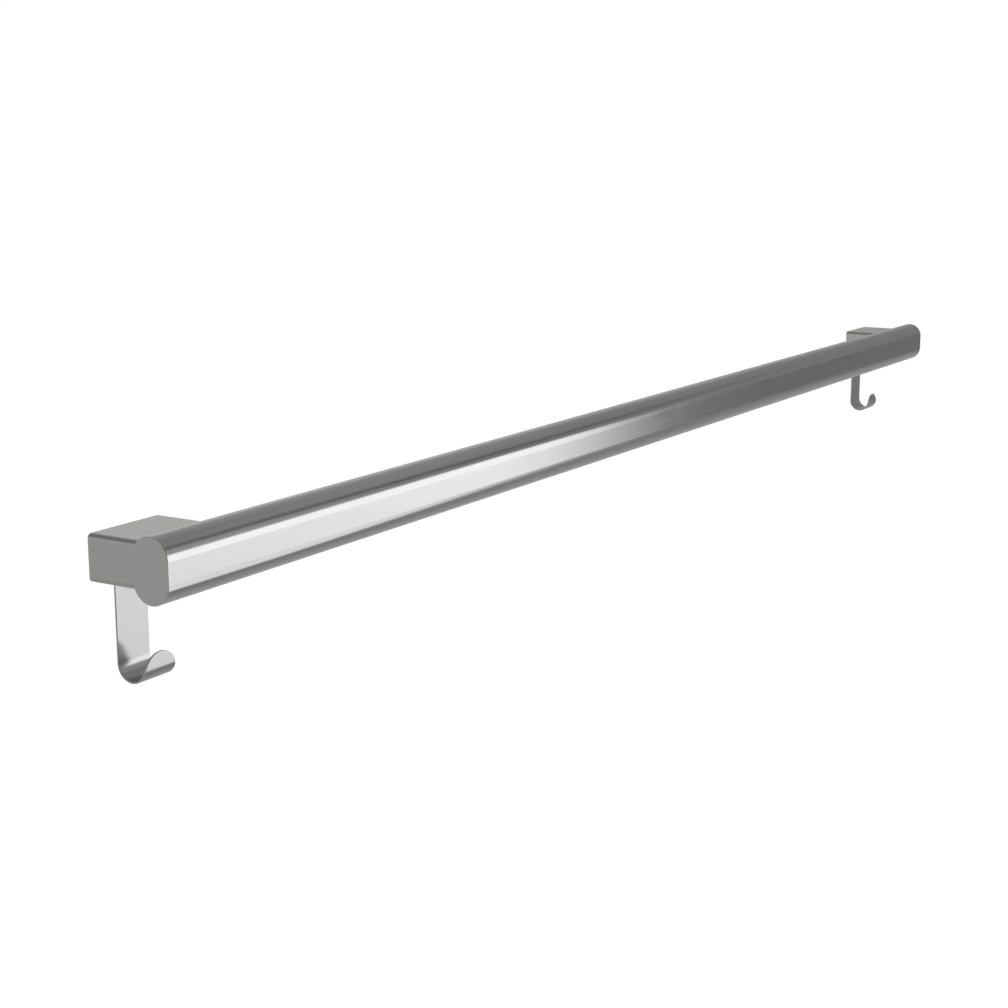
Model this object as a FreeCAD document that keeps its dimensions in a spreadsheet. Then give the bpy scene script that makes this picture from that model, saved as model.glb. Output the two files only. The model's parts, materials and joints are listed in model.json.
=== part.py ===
import FreeCAD, Part
import os
import PartDesign
import Sketcher

# Wall rail with a coat hook under each end.
#
# A flat-oval metal rail runs along X and stands off the wall on two hollow brackets.
# Inside each bracket a sheet-metal plate is screwed to the wall, with a J-shaped hook
# riveted to its front. The bracket slides over the plate's flanges and two grub screws
# in its underside lock it there. Two screws from inside the bracket hold the rail,
# through its back, to a nut plate that lies in the rail.
#
# Frame: the origin is in the wall plane, at the centre of the wall holes. X runs along
# the rail, +Y points into the wall and +Z is up. Millimetres.

SIZES = {
    # rail
    "rail_length": 1224.0,        # over both end caps
    "rail_height": 38.0,
    "rail_depth": 25.2,
    "rail_wall": 1.5,
    "wall_gap": 37.0,             # clear space between the wall and the rail's back
    "end_overhang": 5.5,          # rail past the outer side of each bracket
    # end caps
    "lid_thick": 2.5,
    "lid_round": 0.4,
    "spigot_clear": 1.9,          # between the spigot's inner end and the nut plate
    "spigot_wall": 2.0,
    "spigot_gap": 0.15,
    # brackets
    "bracket_width": 58.6,
    "bracket_height": 27.5,
    "bracket_side": 3.0,          # thickness of the four side walls
    "bracket_front": 6.0,         # thickness behind the rail's flat back
    "bracket_round": 3.0,         # along the four long edges
    "saddle_ease": 2.0,           # how much larger the saddle's radius is than the rail's
    # wall plates
    "plate_thick": 1.5,
    "plate_gap": 0.35,            # between the plate and the bracket's inside
    "flange_depth": 14.0,
    "bend_radius": 0.6,           # inside each bend
    "tab_gap": 2.6,               # between the hook's stem and a lower tab
    "wall_hole": 5.5,
    "wall_hole_inset": 9.55,      # from each end of the plate to a wall hole's axis
    # hooks
    "hook_width": 25.4,
    "hook_thick": 1.2,
    "hook_radius": 10.5,          # outside of the J
    "hook_drop": 63.7,            # from the rail's centre line to the J's centre
    "tip_rise": 7.2,              # from the J's centre to the top of the tip
    "head_margin": 6.0,           # head of the hook past each wall hole
    "head_round": 2.0,
    "hook_edge": 0.35,            # rounding of the sheared edges
    "hook_gap": 0.3,              # between the hook and what it passes
    # rivets that hold a hook to its plate
    "rivet_shank": 3.0,
    "rivet_spacing": 10.0,
    "rivet_head": 5.6,
    "rivet_head_height": 1.0,
    "rivet_sink": 0.9,            # depth of the countersunk end in the plate's back
    # screws, washers and nut plates that hold the rail
    "rail_screw": 6.0,
    "rail_screw_spacing": 28.0,
    "rail_screw_length": 16.0,
    "rail_screw_head": 10.5,
    "rail_screw_head_height": 3.3,
    "rail_screw_hex": 4.0,        # across the flats
    "rail_screw_socket": 2.2,
    "screw_gap": 0.25,            # radial, in a plain hole
    "thread_gap": 0.05,           # radial, in a tapped hole
    "washer_diameter": 12.0,
    "washer_thick": 1.6,
    "nut_end": 6.0,               # nut plate past each screw's axis
    "nut_height": 12.0,
    "nut_thick": 5.0,
    "nut_gap": 0.3,
    # grub screws that lock a bracket to its plate
    "grub": 5.0,
    "grub_setback": 8.0,          # from the wall to the screw's axis
    "grub_recess": 0.4,
    "grub_point": 3.4,
    "grub_point_length": 1.7,
    "grub_hex": 2.5,
    "grub_socket": 1.6,
}

SIDES = {"left": -1, "right": 1}
HEX_ACROSS_CORNERS = 1.1547       # corner diameter of a hexagon one unit across its flats
PAST = 1.0                        # how far a cutting outline runs past what it cuts

doc = FreeCAD.newDocument("wall_rail")
sheet = doc.addObject("Spreadsheet::Sheet", "Sizes")
for row, (alias, number) in enumerate(SIZES.items(), start=1):
    sheet.set(f"A{row}", alias)
    sheet.set(f"B{row}", str(number))
    sheet.setAlias(f"B{row}", alias)
doc.recompute()


# ---------------------------------------------------------------- expressions

RAIL_RADIUS = "Sizes.rail_depth / 2"
RAIL_HALF_FLAT = "(Sizes.rail_height - Sizes.rail_depth) / 2"
RAIL_CENTRE_Y = "-(Sizes.wall_gap + Sizes.rail_depth / 2)"
BORE_RADIUS = "(Sizes.rail_depth / 2 - Sizes.rail_wall)"
TUBE_HALF_LENGTH = "(Sizes.rail_length / 2 - Sizes.lid_thick)"
BRACKET_X = "(Sizes.rail_length / 2 - Sizes.end_overhang - Sizes.bracket_width / 2)"
NUT_HALF_LENGTH = "(Sizes.rail_screw_spacing / 2 + Sizes.nut_end)"
SPIGOT_LENGTH = f"({TUBE_HALF_LENGTH} - {BRACKET_X} - {NUT_HALF_LENGTH} - Sizes.spigot_clear)"

SADDLE_RADIUS = f"({RAIL_RADIUS} + Sizes.saddle_ease)"
SADDLE_RISE = f"(Sizes.bracket_height / 2 - {RAIL_HALF_FLAT})"
SADDLE_REACH = f"({SADDLE_RADIUS} - sqrt({SADDLE_RADIUS}^2 - {SADDLE_RISE}^2))"

CAVITY_HALF_WIDTH = "(Sizes.bracket_width / 2 - Sizes.bracket_side)"
CAVITY_HALF_HEIGHT = "(Sizes.bracket_height / 2 - Sizes.bracket_side)"
CAVITY_DEPTH = "(Sizes.wall_gap - Sizes.bracket_front)"

PLATE_HALF_WIDTH = f"({CAVITY_HALF_WIDTH} - Sizes.plate_gap)"
PLATE_HALF_HEIGHT = f"({CAVITY_HALF_HEIGHT} - Sizes.plate_gap)"
PLATE_INSIDE = f"({PLATE_HALF_HEIGHT} - Sizes.plate_thick)"
TAB_START = "(Sizes.hook_width / 2 + Sizes.tab_gap)"
WALL_HOLE_X = f"({PLATE_HALF_WIDTH} - Sizes.wall_hole_inset)"

HOOK_FRONT = "(Sizes.plate_thick + Sizes.hook_thick)"
HOOK_CENTRE = "(Sizes.plate_thick + Sizes.hook_radius)"
HEAD_HALF_WIDTH = f"({WALL_HOLE_X} + Sizes.head_margin)"
HEAD_HALF_HEIGHT = f"({PLATE_INSIDE} - Sizes.bend_radius - Sizes.hook_gap)"
TIP_TOP = "(Sizes.tip_rise - Sizes.hook_drop)"

GRUB_X = f"(({TAB_START} + {PLATE_HALF_WIDTH}) / 2)"


# -------------------------------------------------------------------- helpers

def bind(thing, expressions):
    """Tie properties of an object to the sheet."""
    for name, expression in expressions.items():
        thing.setExpression(name, expression)


def new_body(name):
    body = doc.addObject("PartDesign::Body", name)
    body.Label = name
    return body


def new_sketch(body, name, role, offset=None):
    """An empty sketch on one of the body's own planes, moved along that plane's normal."""
    sketch = body.newObject("Sketcher::SketchObject", name)
    plane = next(item for item in body.Origin.OriginFeatures if item.Role == role)
    sketch.AttachmentSupport = [(plane, "")]
    sketch.MapMode = "FlatFace"
    if offset:
        sketch.setExpression("AttachmentOffset.Base.z", offset)
    return sketch


def dimension(sketch, name, expression, *constraint):
    """A named sketch dimension that follows an expression."""
    index = sketch.addConstraint(Sketcher.Constraint(*constraint))
    sketch.renameConstraint(index, name)
    sketch.setExpression(f"Constraints.{name}", expression)


def relate(sketch, *relations):
    for relation in relations:
        sketch.addConstraint(Sketcher.Constraint(*relation))


def add_line(sketch, start, end):
    return sketch.addGeometry(Part.LineSegment(FreeCAD.Vector(*start, 0), FreeCAD.Vector(*end, 0)))


def add_arc(sketch, centre, radius, start_degrees, end_degrees):
    circle = Part.Circle(FreeCAD.Vector(*centre, 0), FreeCAD.Vector(0, 0, 1), radius)
    arc = Part.ArcOfCircle(circle, *(FreeCAD.Units.Quantity(f"{angle} deg").getValueAs("rad").Value
                                     for angle in (start_degrees, end_degrees)))
    return sketch.addGeometry(arc)


def add_rectangle(sketch, left, right, bottom, top):
    """A rectangle whose four sides stand at the given coordinates."""
    corners = [(-1, -1), (1, -1), (1, 1), (-1, 1)]
    lines = [add_line(sketch, corners[i], corners[(i + 1) % 4]) for i in range(4)]
    for i in range(4):
        relate(sketch, ("Coincident", lines[i], 2, lines[(i + 1) % 4], 1))
    relate(sketch, ("Horizontal", lines[0]), ("Horizontal", lines[2]))
    relate(sketch, ("Vertical", lines[1]), ("Vertical", lines[3]))
    dimension(sketch, f"left{lines[0]}", left, "DistanceX", lines[0], 1, -1.0)
    dimension(sketch, f"right{lines[0]}", right, "DistanceX", lines[2], 1, 1.0)
    dimension(sketch, f"bottom{lines[0]}", bottom, "DistanceY", lines[0], 1, -1.0)
    dimension(sketch, f"top{lines[0]}", top, "DistanceY", lines[2], 1, 1.0)


def add_circle(sketch, across, up, diameter):
    circle = Part.Circle(FreeCAD.Vector(0, 0, 0), FreeCAD.Vector(0, 0, 1), 1.0)
    index = sketch.addGeometry(circle)
    dimension(sketch, f"across{index}", across, "DistanceX", index, 3, 0.0)
    dimension(sketch, f"up{index}", up, "DistanceY", index, 3, 0.0)
    dimension(sketch, f"diameter{index}", diameter, "Diameter", index, 2.0)


def add_stadium(sketch, centre, radius, half_flat):
    """A flat oval: two upright flats joined by half circles, centred at height 0."""
    top = add_arc(sketch, (0, 2), 1.0, 0, 180)
    bottom = add_arc(sketch, (0, -2), 1.0, 180, 360)
    low_side = add_line(sketch, (-1, 2), (-1, -2))
    high_side = add_line(sketch, (1, -2), (1, 2))
    relate(sketch,
           ("Tangent", top, 2, low_side, 1), ("Tangent", low_side, 2, bottom, 1),
           ("Tangent", bottom, 2, high_side, 1), ("Tangent", high_side, 2, top, 1),
           ("Vertical", low_side), ("Vertical", high_side))
    dimension(sketch, f"centre{top}", centre, "DistanceX", top, 3, 0.0)
    dimension(sketch, f"upper{top}", half_flat, "DistanceY", top, 3, 2.0)
    dimension(sketch, f"lower{top}", f"-({half_flat})", "DistanceY", bottom, 3, -2.0)
    dimension(sketch, f"radius{top}", radius, "Radius", top, 1.0)


def add_pad(body, sketch, name, length, symmetric=False, reverse=False):
    pad = body.newObject("PartDesign::Pad", name)
    pad.Profile = sketch
    pad.Midplane = symmetric
    pad.Reversed = reverse
    pad.setExpression("Length", length)
    doc.recompute()
    return pad


def add_pocket(body, sketch, name, length, symmetric=False, reverse=False):
    """A pocket that must remove material."""
    before = body.Shape.Volume
    pocket = body.newObject("PartDesign::Pocket", name)
    pocket.Profile = sketch
    pocket.Midplane = symmetric
    pocket.Reversed = reverse
    pocket.setExpression("Length", length)
    doc.recompute()
    if body.Shape.Volume >= before:
        raise RuntimeError(f"{body.Label}: {name} removed nothing")
    return pocket


def add_fillet(body, name, radius, wanted):
    """Round the edges of the body for which wanted(edge) is true."""
    base = body.Tip
    names = [f"Edge{i}" for i, edge in enumerate(base.Shape.Edges, start=1) if wanted(edge)]
    fillet = body.newObject("PartDesign::Fillet", name)
    fillet.Base = (base, names)
    fillet.setExpression("Radius", radius)
    doc.recompute()
    return fillet


def runs_along(edge, axis):
    """True for a straight edge parallel to the named axis."""
    box = edge.BoundBox
    lengths = {"X": box.XLength, "Y": box.YLength, "Z": box.ZLength}
    return all((size > 0.01) == (name == axis) for name, size in lengths.items())


def set_place(thing, x="0", y="0", z="0"):
    bind(thing, {"Placement.Base.x": x, "Placement.Base.y": y, "Placement.Base.z": z})


def add_cylinder(name, diameter, height, **place):
    cylinder = doc.addObject("Part::Cylinder", name)
    bind(cylinder, {"Radius": f"({diameter}) / 2", "Height": height})
    set_place(cylinder, **place)
    return cylinder


def add_cone(name, first_diameter, last_diameter, height, **place):
    cone = doc.addObject("Part::Cone", name)
    bind(cone, {"Radius1": f"({first_diameter}) / 2", "Radius2": f"({last_diameter}) / 2",
                "Height": height})
    set_place(cone, **place)
    return cone


def add_hexagon(name, across_flats, height, **place):
    prism = doc.addObject("Part::Prism", name)
    prism.Polygon = 6
    bind(prism, {"Circumradius": f"{across_flats} / 2 * {HEX_ACROSS_CORNERS}", "Height": height})
    set_place(prism, **place)
    return prism


def add_fuse(name, pieces):
    fuse = doc.addObject("Part::MultiFuse", name)
    fuse.Shapes = pieces
    fuse.Refine = True
    return fuse


def add_cut(name, base, tool):
    cut = doc.addObject("Part::Cut", name)
    cut.Base = base
    cut.Tool = tool
    return cut


def point_along_minus_y(pieces):
    """Turn pieces made along +Z so that they point along -Y."""
    for piece in pieces:
        piece.Placement.Rotation = FreeCAD.Rotation(FreeCAD.Vector(1, 0, 0), 90)


def add_group(name, members):
    group = doc.addObject("Part::Compound", name)
    group.Links = members
    group.Label = name
    return group


# ------------------------------------------------------------------- the rail

def make_rail_tube():
    """Flat-oval tube with four screw holes in its back."""
    body = new_body("rail_tube")
    section = new_sketch(body, "rail_section", "YZ_Plane")
    add_stadium(section, RAIL_CENTRE_Y, RAIL_RADIUS, RAIL_HALF_FLAT)
    add_stadium(section, RAIL_CENTRE_Y, BORE_RADIUS, RAIL_HALF_FLAT)
    add_pad(body, section, "rail_pad", f"2 * {TUBE_HALF_LENGTH}", symmetric=True)

    holes = new_sketch(body, "rail_holes", "XZ_Plane", "Sizes.wall_gap - Sizes.rail_wall")
    for bracket_side in SIDES.values():
        for screw_side in SIDES.values():
            x = f"{bracket_side} * {BRACKET_X} + {screw_side} * Sizes.rail_screw_spacing / 2"
            add_circle(holes, x, "0", "Sizes.rail_screw + 2 * Sizes.screw_gap")
    add_pocket(body, holes, "rail_hole_cut", "3 * Sizes.rail_wall", reverse=True)
    return body


def make_end_cap(side_name, side):
    """Lid that covers the end of the tube, with a hollow spigot inside it."""
    body = new_body(f"end_cap_{side_name}")
    joint = f"{side} * {TUBE_HALF_LENGTH}"
    on_right = side > 0

    lid = new_sketch(body, f"lid_outline_{side_name}", "YZ_Plane", joint)
    add_stadium(lid, RAIL_CENTRE_Y, RAIL_RADIUS, RAIL_HALF_FLAT)
    add_pad(body, lid, f"lid_{side_name}", "Sizes.lid_thick", reverse=not on_right)
    outer_x = side * SIZES["rail_length"] / 2
    add_fillet(body, f"lid_edge_{side_name}", "Sizes.lid_round",
               lambda edge: all(abs(vertex.X - outer_x) < 0.01 for vertex in edge.Vertexes))

    spigot = new_sketch(body, f"spigot_outline_{side_name}", "YZ_Plane", joint)
    spigot_radius = f"({BORE_RADIUS} - Sizes.spigot_gap)"
    add_stadium(spigot, RAIL_CENTRE_Y, spigot_radius, RAIL_HALF_FLAT)
    add_stadium(spigot, RAIL_CENTRE_Y, f"{spigot_radius} - Sizes.spigot_wall", RAIL_HALF_FLAT)
    add_pad(body, spigot, f"spigot_{side_name}", SPIGOT_LENGTH, reverse=on_right)
    return body


def make_nut_plate(side_name, side):
    """Bar with two tapped holes, lying against the inside of the rail's flat back."""
    body = new_body(f"nut_plate_{side_name}")
    bore_back = "(Sizes.wall_gap + Sizes.rail_wall)"
    nut_front = f"-({bore_back} + Sizes.nut_thick)"

    # The section of the bore, eased round its curves and moved back to touch the flat.
    section = new_sketch(body, f"nut_section_{side_name}", "YZ_Plane")
    nut_radius = f"({BORE_RADIUS} - Sizes.nut_gap)"
    add_stadium(section, f"{RAIL_CENTRE_Y} + Sizes.nut_gap", nut_radius, RAIL_HALF_FLAT)
    add_pad(body, section, f"nut_pad_{side_name}", f"2 * {NUT_HALF_LENGTH}", symmetric=True)

    trims = new_sketch(body, f"nut_trims_{side_name}", "YZ_Plane")
    front_end = "-(Sizes.wall_gap + Sizes.rail_depth)"
    add_rectangle(trims, front_end, nut_front, "-Sizes.rail_height", "Sizes.rail_height")
    add_pocket(body, trims, f"nut_trim_{side_name}", f"4 * {NUT_HALF_LENGTH}", symmetric=True)
    ends = new_sketch(body, f"nut_ends_{side_name}", "YZ_Plane")
    add_rectangle(ends, front_end, "0", "Sizes.nut_height / 2", "Sizes.rail_height")
    add_rectangle(ends, front_end, "0", "-Sizes.rail_height", "-Sizes.nut_height / 2")
    add_pocket(body, ends, f"nut_end_{side_name}", f"4 * {NUT_HALF_LENGTH}", symmetric=True)

    taps = new_sketch(body, f"nut_taps_{side_name}", "XZ_Plane", bore_back)
    for screw_side in SIDES.values():
        add_circle(taps, f"{screw_side} * Sizes.rail_screw_spacing / 2", "0",
                   "Sizes.rail_screw + 2 * Sizes.thread_gap")
    add_pocket(body, taps, f"nut_tap_{side_name}", "2 * Sizes.nut_thick", reverse=True)
    body.setExpression("Placement.Base.x", f"{side} * {BRACKET_X}")
    return body


# --------------------------------------------------------------- the brackets

def add_saddle(sketch):
    """Outline of what the rail takes from the bracket: a flat seat between two large arcs."""
    flat = add_line(sketch, (0, -2), (0, 2))
    upper = add_arc(sketch, (-1, 2), 1.0, 0, 90)
    front = add_line(sketch, (-1, 3), (-1, -3))
    lower = add_arc(sketch, (-1, -2), 1.0, 270, 360)
    relate(sketch,
           ("Tangent", flat, 2, upper, 1), ("Tangent", lower, 2, flat, 1),
           ("Coincident", upper, 2, front, 1), ("Coincident", front, 2, lower, 1),
           ("Vertical", flat), ("Vertical", front),
           ("PointOnObject", upper, 3, front), ("PointOnObject", lower, 3, front))
    dimension(sketch, "seat", "-Sizes.wall_gap", "DistanceX", flat, 1, 0.0)
    dimension(sketch, "seat_low", f"-({RAIL_HALF_FLAT})", "DistanceY", flat, 1, -2.0)
    dimension(sketch, "seat_high", RAIL_HALF_FLAT, "DistanceY", flat, 2, 2.0)
    dimension(sketch, "radius", SADDLE_RADIUS, "Radius", upper, 1.0)


def make_bracket(side_name, side):
    """Hollow block, open to the wall, with a saddle for the rail at its front."""
    body = new_body(f"bracket_{side_name}")
    outline = new_sketch(body, f"bracket_outline_{side_name}", "XZ_Plane")
    add_rectangle(outline, "-Sizes.bracket_width / 2", "Sizes.bracket_width / 2",
                  "-Sizes.bracket_height / 2", "Sizes.bracket_height / 2")
    add_pad(body, outline, f"bracket_pad_{side_name}", f"Sizes.wall_gap + {SADDLE_REACH}")
    add_fillet(body, f"bracket_rounds_{side_name}", "Sizes.bracket_round",
               lambda edge: runs_along(edge, "Y"))

    cavity = new_sketch(body, f"cavity_outline_{side_name}", "XZ_Plane")
    add_rectangle(cavity, f"-{CAVITY_HALF_WIDTH}", CAVITY_HALF_WIDTH,
                  f"-{CAVITY_HALF_HEIGHT}", CAVITY_HALF_HEIGHT)
    add_pocket(body, cavity, f"cavity_{side_name}", CAVITY_DEPTH, reverse=True)

    saddle = new_sketch(body, f"saddle_outline_{side_name}", "YZ_Plane")
    add_saddle(saddle)
    add_pocket(body, saddle, f"saddle_{side_name}", "2 * Sizes.bracket_width", symmetric=True)

    screw_holes = new_sketch(body, f"screw_holes_{side_name}", "XZ_Plane", CAVITY_DEPTH)
    for screw_side in SIDES.values():
        add_circle(screw_holes, f"{screw_side} * Sizes.rail_screw_spacing / 2", "0",
                   "Sizes.rail_screw + 2 * Sizes.screw_gap")
    add_pocket(body, screw_holes, f"screw_hole_cut_{side_name}", "2 * Sizes.bracket_front", reverse=True)

    # Through the underside only: the sketch lies at mid-height, inside the hollow.
    grub_holes = new_sketch(body, f"grub_holes_{side_name}", "XY_Plane")
    for grub_side in SIDES.values():
        add_circle(grub_holes, f"{grub_side} * {GRUB_X}", "-Sizes.grub_setback",
                   "Sizes.grub + 2 * Sizes.thread_gap")
    add_pocket(body, grub_holes, f"grub_hole_cut_{side_name}", "Sizes.bracket_height")
    slot = new_sketch(body, f"hook_slot_outline_{side_name}", "XY_Plane")
    slot_half_width = "(Sizes.hook_width / 2 + Sizes.hook_gap)"
    add_rectangle(slot, f"-{slot_half_width}", slot_half_width,
                  f"-({HOOK_FRONT} + Sizes.hook_gap)", f"{PAST}")
    add_pocket(body, slot, f"hook_slot_{side_name}", "Sizes.bracket_height")
    body.setExpression("Placement.Base.x", f"{side} * {BRACKET_X}")
    return body


# ------------------------------------------------------ wall plates and hooks

def is_rivet_rim(edge):
    rim_radius = SIZES["rivet_shank"] / 2 + SIZES["thread_gap"]
    on_wall = edge.BoundBox.YMin > -0.01
    return on_wall and hasattr(edge.Curve, "Radius") and abs(edge.Curve.Radius - rim_radius) < 0.01


def add_face_holes(body, name, depth):
    """The two wall holes and two rivet holes, cut from the wall towards the front."""
    holes = new_sketch(body, f"{name}_holes", "XZ_Plane")
    for side in SIDES.values():
        add_circle(holes, f"{side} * {WALL_HOLE_X}", "0", "Sizes.wall_hole")
        add_circle(holes, f"{side} * Sizes.rivet_spacing / 2", "0",
                   "Sizes.rivet_shank + 2 * Sizes.thread_gap")
    add_pocket(body, holes, f"{name}_hole_cut", depth, reverse=True)


def make_wall_plate(side_name, side):
    """Channel-bent plate: a face on the wall, a flange above and two tabs below."""
    body = new_body(f"wall_plate_{side_name}")
    channel = new_sketch(body, f"channel_outline_{side_name}", "YZ_Plane")
    add_rectangle(channel, "-Sizes.flange_depth", "0", f"-{PLATE_HALF_HEIGHT}", PLATE_HALF_HEIGHT)
    add_pad(body, channel, f"channel_{side_name}", f"2 * {PLATE_HALF_WIDTH}", symmetric=True)
    inside = new_sketch(body, f"channel_inside_{side_name}", "YZ_Plane")
    add_rectangle(inside, f"-Sizes.flange_depth - {PAST}", "-Sizes.plate_thick",
                  f"-{PLATE_INSIDE}", PLATE_INSIDE)
    add_pocket(body, inside, f"channel_hollow_{side_name}", f"4 * {PLATE_HALF_WIDTH}", symmetric=True)
    add_fillet(body, f"inner_bends_{side_name}", "Sizes.bend_radius",
               lambda edge: runs_along(edge, "X")
               and abs(edge.BoundBox.YMin + SIZES["plate_thick"]) < 0.01)
    add_fillet(body, f"outer_bends_{side_name}", "Sizes.bend_radius + Sizes.plate_thick",
               lambda edge: runs_along(edge, "X") and edge.BoundBox.YMin > -0.01)

    gap = new_sketch(body, f"tab_gap_outline_{side_name}", "XY_Plane")
    add_rectangle(gap, f"-{TAB_START}", TAB_START, f"-Sizes.flange_depth - {PAST}", "-Sizes.plate_thick")
    add_pocket(body, gap, f"tab_gap_cut_{side_name}", "Sizes.bracket_height")
    tab_holes = new_sketch(body, f"tab_holes_{side_name}", "XY_Plane")
    for grub_side in SIDES.values():
        add_circle(tab_holes, f"{grub_side} * {GRUB_X}", "-Sizes.grub_setback",
                   "Sizes.grub_point + 4 * Sizes.screw_gap")
    add_pocket(body, tab_holes, f"tab_hole_cut_{side_name}", "Sizes.bracket_height")
    add_face_holes(body, f"plate_{side_name}", "2 * Sizes.plate_thick")
    base = body.Tip
    rims = [f"Edge{i}" for i, edge in enumerate(base.Shape.Edges, start=1) if is_rivet_rim(edge)]
    sink = body.newObject("PartDesign::Chamfer", f"rivet_sinks_{side_name}")
    sink.Base = (base, rims)
    sink.setExpression("Size", "Sizes.rivet_sink")
    doc.recompute()
    body.setExpression("Placement.Base.x", f"{side} * {BRACKET_X}")
    return body


def add_hook_section(sketch):
    """Side view of the bent strip: stem, half circle and tip, of one thickness."""
    back_stem = add_line(sketch, (-1, 5), (-1, 0))
    outer = add_arc(sketch, (-4, 0), 3.0, 180, 360)
    back_tip = add_line(sketch, (-7, 0), (-7, 1))
    tip_end = add_line(sketch, (-7, 1), (-6, 1))
    inner_tip = add_line(sketch, (-6, 1), (-6, 0))
    inner = add_arc(sketch, (-4, 0), 2.0, 180, 360)
    inner_stem = add_line(sketch, (-2, 0), (-2, 5))
    stem_end = add_line(sketch, (-2, 5), (-1, 5))
    relate(sketch,
           ("Tangent", back_stem, 2, outer, 2), ("Tangent", outer, 1, back_tip, 1),
           ("Coincident", back_tip, 2, tip_end, 1), ("Coincident", tip_end, 2, inner_tip, 1),
           ("Tangent", inner_tip, 2, inner, 1), ("Tangent", inner, 2, inner_stem, 1),
           ("Coincident", inner_stem, 2, stem_end, 1), ("Coincident", stem_end, 2, back_stem, 1),
           ("Coincident", outer, 3, inner, 3),
           ("Vertical", back_stem), ("Vertical", back_tip), ("Vertical", inner_tip),
           ("Vertical", inner_stem), ("Horizontal", tip_end), ("Horizontal", stem_end))
    dimension(sketch, "outer_radius", "Sizes.hook_radius", "Radius", outer, 3.0)
    dimension(sketch, "inner_radius", "Sizes.hook_radius - Sizes.hook_thick", "Radius", inner, 2.0)
    dimension(sketch, "centre_y", f"-{HOOK_CENTRE}", "DistanceX", outer, 3, -4.0)
    dimension(sketch, "centre_z", "-Sizes.hook_drop", "DistanceY", outer, 3, 0.0)
    dimension(sketch, "stem_top", HEAD_HALF_HEIGHT, "DistanceY", back_stem, 1, 5.0)
    dimension(sketch, "tip_top", TIP_TOP, "DistanceY", tip_end, 1, 1.0)


def add_tip_trim(sketch):
    """Outline of what is cut away round the half-round tip."""
    round_end = add_arc(sketch, (0, 0), 1.0, 0, 180)
    low_left = add_line(sketch, (-1, 0), (-2, 0))
    left = add_line(sketch, (-2, 0), (-2, 2))
    top = add_line(sketch, (-2, 2), (2, 2))
    right = add_line(sketch, (2, 2), (2, 0))
    low_right = add_line(sketch, (2, 0), (1, 0))
    relate(sketch,
           ("Coincident", round_end, 2, low_left, 1), ("Coincident", low_left, 2, left, 1),
           ("Coincident", left, 2, top, 1), ("Coincident", top, 2, right, 1),
           ("Coincident", right, 2, low_right, 1), ("Coincident", low_right, 2, round_end, 1),
           ("PointOnObject", round_end, 3, low_left), ("Horizontal", low_left),
           ("Horizontal", low_right), ("PointOnObject", round_end, 3, low_right),
           ("Vertical", left), ("Vertical", right), ("Horizontal", top))
    half_width = "Sizes.hook_width / 2"
    dimension(sketch, "centre_x", "0", "DistanceX", round_end, 3, 0.0)
    dimension(sketch, "centre_z", f"{TIP_TOP} - {half_width}", "DistanceY", round_end, 3, 0.0)
    dimension(sketch, "tip_radius", half_width, "Radius", round_end, 1.0)
    dimension(sketch, "left_x", f"-({half_width} + {PAST})", "DistanceX", left, 1, -2.0)
    dimension(sketch, "right_x", f"{half_width} + {PAST}", "DistanceX", right, 1, 2.0)
    dimension(sketch, "top_z", f"{TIP_TOP} + {PAST}", "DistanceY", top, 1, 2.0)


def is_strip_edge(edge):
    """True along the strip's two sides and round its tip, but not across its upper end."""
    across_strip = runs_along(edge, "X")
    through_strip = runs_along(edge, "Y")
    return not across_strip and not through_strip


def make_hook(side_name, side):
    """J-shaped strip with a wide head, which is riveted to the wall plate."""
    body = new_body(f"hook_{side_name}")
    section = new_sketch(body, f"hook_section_{side_name}", "YZ_Plane")
    add_hook_section(section)
    add_pad(body, section, f"hook_strip_{side_name}", "Sizes.hook_width", symmetric=True)

    # From the plane through the J's centre forwards, so that the stem stays whole.
    trim = new_sketch(body, f"tip_trim_{side_name}", "XZ_Plane", HOOK_CENTRE)
    add_tip_trim(trim)
    add_pocket(body, trim, f"tip_cut_{side_name}", "2 * Sizes.hook_radius", reverse=True)

    add_fillet(body, f"strip_edges_{side_name}", "Sizes.hook_edge", is_strip_edge)

    head = new_sketch(body, f"head_outline_{side_name}", "XZ_Plane", "Sizes.plate_thick")
    add_rectangle(head, f"-{HEAD_HALF_WIDTH}", HEAD_HALF_WIDTH, f"-{HEAD_HALF_HEIGHT}", HEAD_HALF_HEIGHT)
    add_pad(body, head, f"head_{side_name}", "Sizes.hook_thick")
    past_strip = SIZES["hook_width"] / 2 + PAST
    add_fillet(body, f"head_rounds_{side_name}", "Sizes.head_round",
               lambda edge: runs_along(edge, "Y") and abs(edge.BoundBox.XMin) > past_strip)
    add_face_holes(body, f"hook_{side_name}", "2 * Sizes.plate_thick + Sizes.hook_thick")
    body.setExpression("Placement.Base.x", f"{side} * {BRACKET_X}")
    return body


# ------------------------------------------------------------------ fasteners

def fastener_sites(offset):
    """Name ending and x position of the two fasteners at each bracket."""
    for bracket_name, bracket_side in SIDES.items():
        for place_name, place_side in SIDES.items():
            yield (f"{bracket_name}_{place_name}",
                   f"{bracket_side} * {BRACKET_X} + {place_side} * {offset}")


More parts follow.
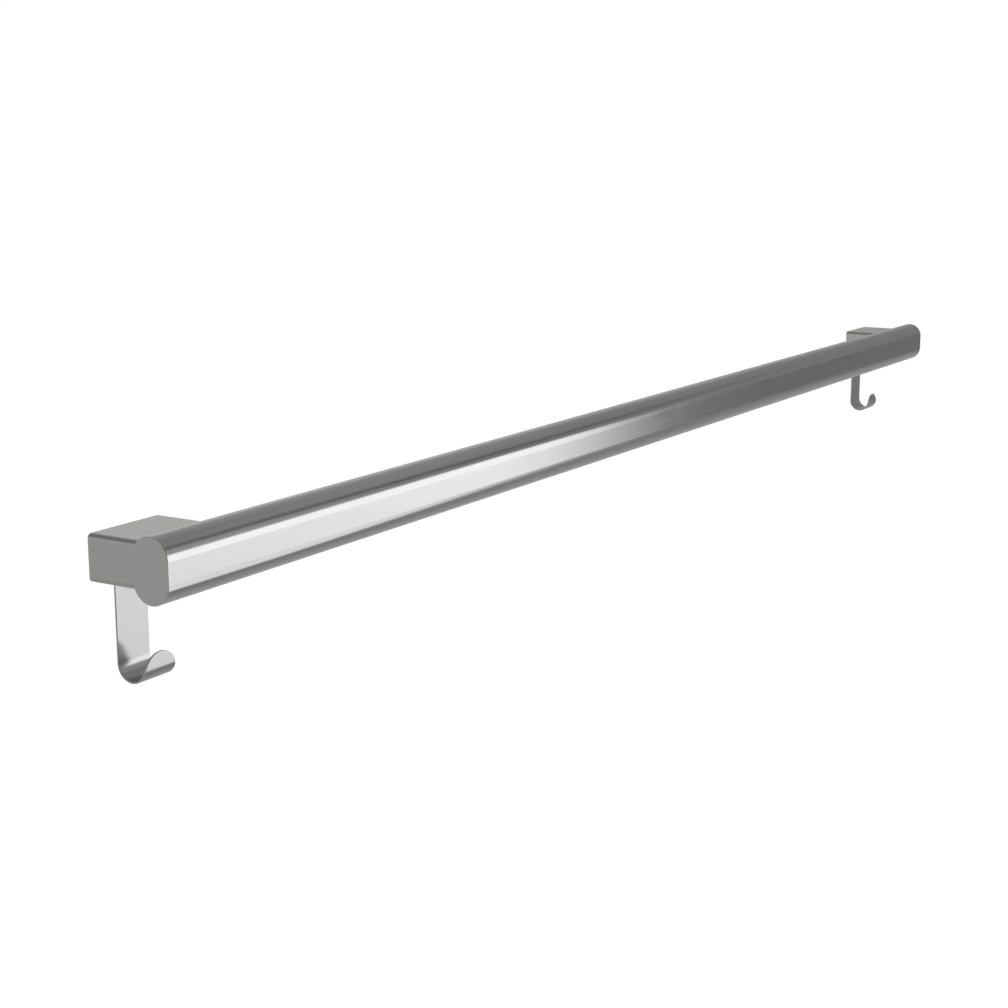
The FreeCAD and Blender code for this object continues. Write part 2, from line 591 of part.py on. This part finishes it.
def make_rail_screw(name, x):
    """Button-head socket screw that points forwards, its head inside the bracket."""
    seat = f"-({CAVITY_DEPTH} - Sizes.washer_thick)"
    rim = "Sizes.rail_screw_head_height / 3"
    head_top = f"{seat} + Sizes.rail_screw_head_height"
    shank = add_cylinder(f"shank_{name}", "Sizes.rail_screw", "Sizes.rail_screw_length", x=x, y=seat)
    flange = add_cylinder(f"flange_{name}", "Sizes.rail_screw_head", rim, x=x, y=f"{seat} + {rim}")
    crown = add_cone(f"crown_{name}", "Sizes.rail_screw_head * 0.6", "Sizes.rail_screw_head",
                     f"Sizes.rail_screw_head_height - {rim}", x=x, y=head_top)
    socket = add_hexagon(f"socket_{name}", "Sizes.rail_screw_hex", "Sizes.rail_screw_socket",
                         x=x, y=head_top)
    point_along_minus_y([shank, flange, crown, socket])
    return add_cut(f"screw_{name}", add_fuse(f"screw_blank_{name}", [shank, flange, crown]), socket)


def make_washer(name, x):
    """Plain washer between a rail screw's head and the bracket."""
    rear = f"-({CAVITY_DEPTH} - Sizes.washer_thick)"
    disc = add_cylinder(f"disc_{name}", "Sizes.washer_diameter", "Sizes.washer_thick", x=x, y=rear)
    hole = add_cylinder(f"washer_hole_{name}", "Sizes.rail_screw + 2 * Sizes.screw_gap",
                        "Sizes.washer_thick", x=x, y=rear)
    point_along_minus_y([disc, hole])
    return add_cut(f"washer_{name}", disc, hole)


def make_grub_screw(name, x):
    """Dog-point grub screw in the bracket's underside, its point in a tab's hole."""
    foot = "-Sizes.bracket_height / 2 + Sizes.grub_recess"
    shoulder = f"-({PLATE_HALF_HEIGHT} + Sizes.thread_gap)"
    y = "-Sizes.grub_setback"
    thread = add_cylinder(f"thread_{name}", "Sizes.grub", f"{shoulder} - ({foot})", x=x, y=y, z=foot)
    point = add_cylinder(f"point_{name}", "Sizes.grub_point", "Sizes.grub_point_length",
                         x=x, y=y, z=shoulder)
    socket = add_hexagon(f"grub_socket_{name}", "Sizes.grub_hex", "Sizes.grub_socket", x=x, y=y, z=foot)
    return add_cut(f"grub_{name}", add_fuse(f"grub_blank_{name}", [thread, point]), socket)


def make_rivet(name, x):
    """Solid rivet: countersunk in the plate's back, with a low head on the hook."""
    sink_tip = "-Sizes.rivet_sink"
    head_rim = f"-{HOOK_FRONT}"
    sink = add_cone(f"sink_{name}", "Sizes.rivet_shank + 2 * Sizes.rivet_sink", "Sizes.rivet_shank",
                    "Sizes.rivet_sink", x=x)
    shank = add_cylinder(f"rivet_shank_{name}", "Sizes.rivet_shank",
                         f"{HOOK_FRONT} - Sizes.rivet_sink", x=x, y=sink_tip)
    head = add_cone(f"rivet_head_{name}", "Sizes.rivet_head", "Sizes.rivet_shank",
                    "Sizes.rivet_head_height", x=x, y=head_rim)
    point_along_minus_y([sink, shank, head])
    return add_fuse(f"rivet_{name}", [sink, shank, head])


# ------------------------------------------------------- assembly and writing

nodes = [make_rail_tube()]
for side_name, side in SIDES.items():
    nodes.append(make_end_cap(side_name, side))
    nodes.append(make_nut_plate(side_name, side))
    nodes.append(make_bracket(side_name, side))
    nodes.append(make_wall_plate(side_name, side))
    nodes.append(make_hook(side_name, side))

RAIL_SCREW_OFFSET = "Sizes.rail_screw_spacing / 2"
RIVET_OFFSET = "Sizes.rivet_spacing / 2"
nodes.append(add_group("rail_screws",
                       [make_rail_screw(*site) for site in fastener_sites(RAIL_SCREW_OFFSET)]))
nodes.append(add_group("rail_washers",
                       [make_washer(*site) for site in fastener_sites(RAIL_SCREW_OFFSET)]))
nodes.append(add_group("grub_screws", [make_grub_screw(*site) for site in fastener_sites(GRUB_X)]))
nodes.append(add_group("hook_rivets", [make_rivet(*site) for site in fastener_sites(RIVET_OFFSET)]))
doc.recompute()

FASTENERS_PER_GROUP = 4
for item in doc.Objects:
    if {"Invalid", "Error"} & set(item.State):
        raise RuntimeError(f"{item.Label} failed: {item.State}")
for node in nodes:
    expected = FASTENERS_PER_GROUP if node.TypeId == "Part::Compound" else 1
    if node.Shape.isNull() or not node.Shape.isValid() or len(node.Shape.Solids) != expected:
        raise RuntimeError(f"{node.Label} isn't {expected} valid solids")

os.makedirs("parts", exist_ok=True)
for node in nodes:
    node.Shape.exportStep(f"parts/{node.Label}.step")
    box = node.Shape.optimalBoundingBox(False)
    print(f"{node.Label:18s} {node.Shape.Volume:10.1f} mm3  "
          f"x {box.XMin:8.2f} {box.XMax:8.2f}  y {box.YMin:7.2f} {box.YMax:7.2f}  "
          f"z {box.ZMin:7.2f} {box.ZMax:7.2f}")
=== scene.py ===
import json
import math

import bpy
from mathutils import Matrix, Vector

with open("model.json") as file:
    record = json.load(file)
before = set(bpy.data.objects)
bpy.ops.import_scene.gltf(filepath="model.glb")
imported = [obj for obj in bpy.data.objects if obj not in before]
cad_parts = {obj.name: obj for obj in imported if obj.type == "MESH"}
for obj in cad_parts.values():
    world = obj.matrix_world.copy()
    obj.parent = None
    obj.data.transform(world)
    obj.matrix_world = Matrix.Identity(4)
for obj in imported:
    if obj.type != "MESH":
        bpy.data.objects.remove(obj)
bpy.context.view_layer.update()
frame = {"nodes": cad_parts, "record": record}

# Wall rail with coat hooks. The CAD nodes are shown as they are, with procedural metal
# finishes, in a white studio. Metres: X runs along the rail, +Y into the wall, +Z up.


# ------------------------------------------------------------------ node tools

# The Mix node has one set of sockets for each kind of data, told apart by number.
MIX_FACTOR = 0
FLOAT_A, FLOAT_B, FLOAT_OUT = 2, 3, 0
COLOUR_A, COLOUR_B, COLOUR_OUT = 6, 7, 2


class Graph:
    """Short calls for building one node tree."""

    def __init__(self, tree):
        self.tree = tree
        tree.nodes.clear()

    def add(self, kind, inputs=None, **settings):
        node = self.tree.nodes.new(kind)
        for name, value in settings.items():
            setattr(node, name, value)
        for name, value in (inputs or {}).items():
            self.feed(node.inputs[name], value)
        return node

    def feed(self, target, value):
        if isinstance(value, bpy.types.NodeSocket):
            self.tree.links.new(value, target)
        else:
            target.default_value = value

    def math(self, operation, *values):
        node = self.add("ShaderNodeMath", dict(enumerate(values)), operation=operation)
        return node.outputs["Value"]

    def plus(self, first, *others):
        total = first
        for other in others:
            total = self.math("ADD", total, other)
        return total

    def times(self, first, *others):
        product = first
        for other in others:
            product = self.math("MULTIPLY", product, other)
        return product

    def ramp(self, value, low, high, at_low, at_high):
        """Smooth change from at_low to at_high as value goes from low to high."""
        limits = {"Value": value, "From Min": low, "From Max": high,
                  "To Min": at_low, "To Max": at_high}
        node = self.add("ShaderNodeMapRange", limits, interpolation_type="SMOOTHSTEP")
        return node.outputs["Result"]

    def between(self, first, second, factor):
        """first where factor is 0, second where it is 1."""
        node = self.add("ShaderNodeMix", {MIX_FACTOR: factor, FLOAT_A: first, FLOAT_B: second},
                        data_type="FLOAT")
        return node.outputs[FLOAT_OUT]

    def noise(self, vector, stretch, detail, roughness=0.5):
        """Noise with stretch features to the metre along each axis."""
        place = self.add("ShaderNodeMapping", {"Vector": vector, "Scale": stretch})
        node = self.add("ShaderNodeTexNoise",
                        {"Vector": place.outputs["Vector"], "Scale": 1.0, "Detail": detail,
                         "Roughness": roughness})
        return node.outputs["Fac"]

    def grey(self, shade):
        node = self.add("ShaderNodeCombineColor", {"Red": shade, "Green": shade, "Blue": shade})
        return node.outputs["Color"]


# -------------------------------------------------------------------- materials

# Noise features to the metre along X, Y and Z.
BRUSHED_X = (14.0, 3500.0, 3500.0)
BRUSHED_Z = (3500.0, 3500.0, 14.0)
FINE = (1600.0, 1600.0, 1600.0)
COARSE = (500.0, 500.0, 500.0)
CLOUDS = (28.0, 28.0, 28.0)
SMEARS = (9.0, 60.0, 60.0)

WORN_EDGE = 0.0005             # how far in from an edge the wear reaches
WORN_SHINE = 0.06
WORN_SMOOTHNESS = 0.1
BUMP_STRENGTH = 0.3
GRAIN_DETAIL, GRAIN_ROUGHNESS = 5.0, 0.6


def worn_edges(graph, surface_normal, clouds):
    """1 on edges that are rubbed bright, patchily, and 0 elsewhere."""
    bevel = graph.add("ShaderNodeBevel", {"Radius": WORN_EDGE}, samples=4).outputs["Normal"]
    facing = graph.add("ShaderNodeVectorMath", {0: bevel, 1: surface_normal},
                       operation="DOT_PRODUCT").outputs["Value"]
    edge = graph.ramp(facing, 0.90, 0.99, 1.0, 0.0)
    return graph.times(edge, graph.ramp(clouds, 0.45, 0.65, 0.2, 1.0))


def make_metal(name, tint, roughness, grain_stretch, grain_height, cut_face=None):
    """Metal with a fine grain, cloudy polish, faint smears and slightly brighter worn edges.

    cut_face is the finish of the faces square to X: (roughness, grain_stretch)."""
    material = bpy.data.materials.new(name)
    material.use_nodes = True
    graph = Graph(material.node_tree)
    place = graph.add("ShaderNodeTexCoord").outputs["Object"]
    normal = graph.add("ShaderNodeNewGeometry").outputs["Normal"]

    grain = graph.noise(place, grain_stretch, GRAIN_DETAIL, GRAIN_ROUGHNESS)
    polish = roughness
    if cut_face:
        cut_roughness, cut_stretch = cut_face
        parts = graph.add("ShaderNodeSeparateXYZ", {"Vector": normal}).outputs
        square = graph.ramp(graph.math("ABSOLUTE", parts["X"]), 0.75, 0.95, 0.0, 1.0)
        cut_grain = graph.noise(place, cut_stretch, GRAIN_DETAIL, GRAIN_ROUGHNESS)
        grain = graph.between(grain, cut_grain, square)
        polish = graph.between(roughness, cut_roughness, square)
    clouds = graph.noise(place, CLOUDS, 3.0)
    smears = graph.noise(place, SMEARS, 2.0)
    worn = worn_edges(graph, normal, clouds)

    shade = graph.plus(graph.ramp(grain, 0.25, 0.75, 0.97, 1.03),
                       graph.ramp(smears, 0.3, 0.7, -0.006, 0.006),
                       graph.times(worn, WORN_SHINE))
    colour = graph.add("ShaderNodeMix", {MIX_FACTOR: 1.0, COLOUR_A: (*tint, 1.0),
                                         COLOUR_B: graph.grey(shade)},
                       data_type="RGBA", blend_type="MULTIPLY")
    spread = graph.plus(graph.ramp(grain, 0.25, 0.75, 0.88, 1.12),
                        graph.ramp(clouds, 0.3, 0.7, -0.07, 0.07),
                        graph.times(worn, -WORN_SMOOTHNESS))
    bump = graph.add("ShaderNodeBump", {"Height": grain, "Strength": BUMP_STRENGTH,
                                        "Distance": grain_height})
    shader = graph.add("ShaderNodeBsdfPrincipled", {
        "Base Color": colour.outputs[COLOUR_OUT],
        "Metallic": 1.0,
        "Roughness": graph.times(spread, polish),
        "Normal": bump.outputs["Normal"]})
    graph.add("ShaderNodeOutputMaterial", {"Surface": shader.outputs["BSDF"]})
    return material


RAIL_TINT = (0.605, 0.603, 0.604)
CAP_TINT = (0.612, 0.611, 0.600)
BRACKET_TINT = (0.608, 0.607, 0.595)
HOOK_TINT = (0.568, 0.567, 0.568)
PLATE_TINT = (0.55, 0.56, 0.57)
FASTENER_TINT = (0.56, 0.56, 0.56)

FINISHES = {
    "rail_steel": make_metal("rail_steel", RAIL_TINT, 0.115, BRUSHED_X, 0.000003),
    "cap_steel": make_metal("cap_steel", CAP_TINT, 0.115, BRUSHED_X, 0.000003,
                            cut_face=(0.20, FINE)),
    "bracket_steel": make_metal("bracket_steel", BRACKET_TINT, 0.19, FINE, 0.000002),
    "hook_steel": make_metal("hook_steel", HOOK_TINT, 0.19, BRUSHED_Z, 0.000003),
    "plate_steel": make_metal("plate_steel", PLATE_TINT, 0.36, COARSE, 0.00002),
    "fastener_steel": make_metal("fastener_steel", FASTENER_TINT, 0.28, FINE, 0.00001),
}
SLOTS = {part["node"]: part["material_slot"] for part in frame["record"]["subparts"]}
for node_name, node in frame["nodes"].items():
    for material_slot in node.material_slots:
        material_slot.material = FINISHES[SLOTS[node_name]]


# ------------------------------------------------------------ studio and camera

FLOOR_DROP = 0.9
FLOOR_REACH = 40.0
PLAIN_LIGHT = 1.03
WHITE = (1.0, 1.0, 1.0, 1.0)

CAMERA_PLACE = (-1.2925, -0.6814, 0.2285)
CAMERA_HEADING = math.radians(58.7415)      # from +Y towards +X
CAMERA_TILT = math.radians(11.912)          # downwards
CAMERA_LENS = 63.336
CAMERA_SENSOR = 36.0


def make_floor():
    """Pale floor well below the rail, as if the rail hung on an unseen wall."""
    mesh = bpy.data.meshes.new("floor")
    outline = ((-1, -1), (1, -1), (1, 1), (-1, 1))
    corners = [(x * FLOOR_REACH, y * FLOOR_REACH, -FLOOR_DROP) for x, y in outline]
    mesh.from_pydata(corners, [], [(0, 1, 2, 3)])
    floor = bpy.data.objects.new("floor", mesh)
    bpy.context.scene.collection.objects.link(floor)

    material = bpy.data.materials.new("floor_paint")
    material.use_nodes = True
    graph = Graph(material.node_tree)
    place = graph.add("ShaderNodeTexCoord").outputs["Object"]
    shade = graph.ramp(graph.noise(place, (3.0, 3.0, 3.0), 3.0), 0.3, 0.7, 0.980, 0.990)
    shader = graph.add("ShaderNodeBsdfDiffuse", {"Color": graph.grey(shade), "Roughness": 0.5})
    graph.add("ShaderNodeOutputMaterial", {"Surface": shader.outputs["BSDF"]})
    mesh.materials.append(material)
    floor.visible_glossy = False


def room_light(graph, azimuth, turn, height):
    """The dim room that the metal mirrors around the panel."""
    ramp, times, between = graph.ramp, graph.times, graph.between

    # The middle lies ahead and to the right: lighter below, darker at eye level.
    below = ramp(azimuth, -30, 5, 0.26, 0.37)
    eye_level = ramp(azimuth, -22, -19, 0.187, 0.207)
    above = 0.255
    middle = between(below, ramp(height, -2, 8, eye_level, above),
                     ramp(height, -17, -9, 0.0, 1.0))

    # The side on the wall's side of the rail is lighter, and dims upwards and downwards.
    side = graph.math("MINIMUM", ramp(height, 12, 38, 0.54, 0.27), ramp(height, -40, 0, 0.42, 0.54))
    side = times(side, between(ramp(turn, 60, 125, 1.0, 0.86), 1.0,
                               ramp(turn, 140, 165, 0.0, 1.0)))
    beside = times(ramp(turn, 0, 40, 0.0, 1.0), ramp(turn, 180, 200, 1.0, 0.0))
    room = between(middle, side, beside)

    shadow = times(ramp(turn, 176, 200, 0.0, 1.0), ramp(turn, 235, 265, 1.0, 0.0))
    ceiling = times(ramp(azimuth, 55, 85, 0.0, 1.0), ramp(height, 20, 32, 0.0, 1.0))
    # A dark gap runs slantwise above the panel, and the room is lighter above it.
    slant = graph.plus(azimuth, height)
    gap = times(ramp(slant, -9, -3, 0.0, 1.0), ramp(slant, 0, 12, 1.0, 0.0),
                ramp(azimuth, -20, -12, 1.0, 0.0), ramp(height, 15, 20, 0.0, 1.0))
    lift = times(ramp(height, 25, 36, 0.0, 1.0), ramp(height, 37, 44, 1.0, 0.3),
                 ramp(azimuth, -26, -16, 0.0, 1.0), ramp(azimuth, 20, 50, 1.0, 0.0))
    room = times(room, between(1.0, 0.35, shadow), between(1.0, 0.8, ceiling),
                 between(1.0, 0.66, gap), between(1.0, 1.22, lift))

    glow = times(ramp(azimuth, -38, -29, 0.17, 0.0), ramp(turn, 235, 265, 0.0, 1.0),
                 ramp(height, 18, 33, 1.0, 0.0))
    return graph.plus(room, glow)


def make_studio():
    """Even white light, and what the metal mirrors: a wide soft panel at the front right
    and a dim room around it.

    Angles are in degrees: azimuth from +X towards +Y (-180 to 180), turn the same
    from 0 to 360, and height above the horizon."""
    world = bpy.data.worlds.new("studio")
    world.use_nodes = True
    bpy.context.scene.world = world
    graph = Graph(world.node_tree)
    ramp, times, between = graph.ramp, graph.times, graph.between
    direction = graph.add("ShaderNodeTexCoord").outputs["Generated"]
    parts = graph.add("ShaderNodeSeparateXYZ", {"Vector": direction}).outputs
    azimuth = graph.math("DEGREES", graph.math("ARCTAN2", parts["Y"], parts["X"]))
    turn = graph.math("FLOORED_MODULO", azimuth, 360.0)
    height = graph.math("DEGREES", graph.math("ARCSINE", parts["Z"]))

    # The panel's right end fades, more sharply towards its top.
    fade_start = ramp(height, -12, -4, 328.4, 329.5)
    fade_end = ramp(height, -12, -4, 335.4, 332.5)
    panel = times(ramp(turn, fade_start, fade_end, 1.0, 0.0), ramp(turn, 245, 265, 0.0, 1.0),
                  ramp(height, 7, 13.5, 1.0, 0.0), ramp(height, -33.5, -29.5, 0.0, 1.0))
    panel_light = times(ramp(height, -17, -7, 1.08, 1.48), ramp(turn, 308, 317, 0.92, 1.0),
                        ramp(turn, 322, 331, 1.0, 1.03))
    mirrored_light = between(room_light(graph, azimuth, turn, height), panel_light, panel)

    mirrored = graph.add("ShaderNodeBackground", {"Color": WHITE, "Strength": mirrored_light})
    plain = graph.add("ShaderNodeBackground", {"Color": WHITE, "Strength": PLAIN_LIGHT})
    glossy = graph.add("ShaderNodeLightPath").outputs["Is Glossy Ray"]
    both = graph.add("ShaderNodeMixShader", {0: glossy, 1: plain.outputs["Background"],
                                             2: mirrored.outputs["Background"]})
    graph.add("ShaderNodeOutputWorld", {"Surface": both.outputs["Shader"]})


def make_camera():
    level = math.cos(CAMERA_TILT)
    forward = Vector((math.sin(CAMERA_HEADING) * level, math.cos(CAMERA_HEADING) * level,
                      -math.sin(CAMERA_TILT)))
    data = bpy.data.cameras.new("camera")
    data.sensor_width = CAMERA_SENSOR
    data.lens = CAMERA_LENS
    data.clip_start = 0.01
    camera = bpy.data.objects.new("camera", data)
    camera.location = CAMERA_PLACE
    camera.rotation_mode = "QUATERNION"
    camera.rotation_quaternion = forward.to_track_quat("-Z", "Y")
    bpy.context.scene.collection.objects.link(camera)
    bpy.context.scene.camera = camera


make_floor()
make_studio()
make_camera()
bpy.context.scene.view_settings.view_transform = "Standard"
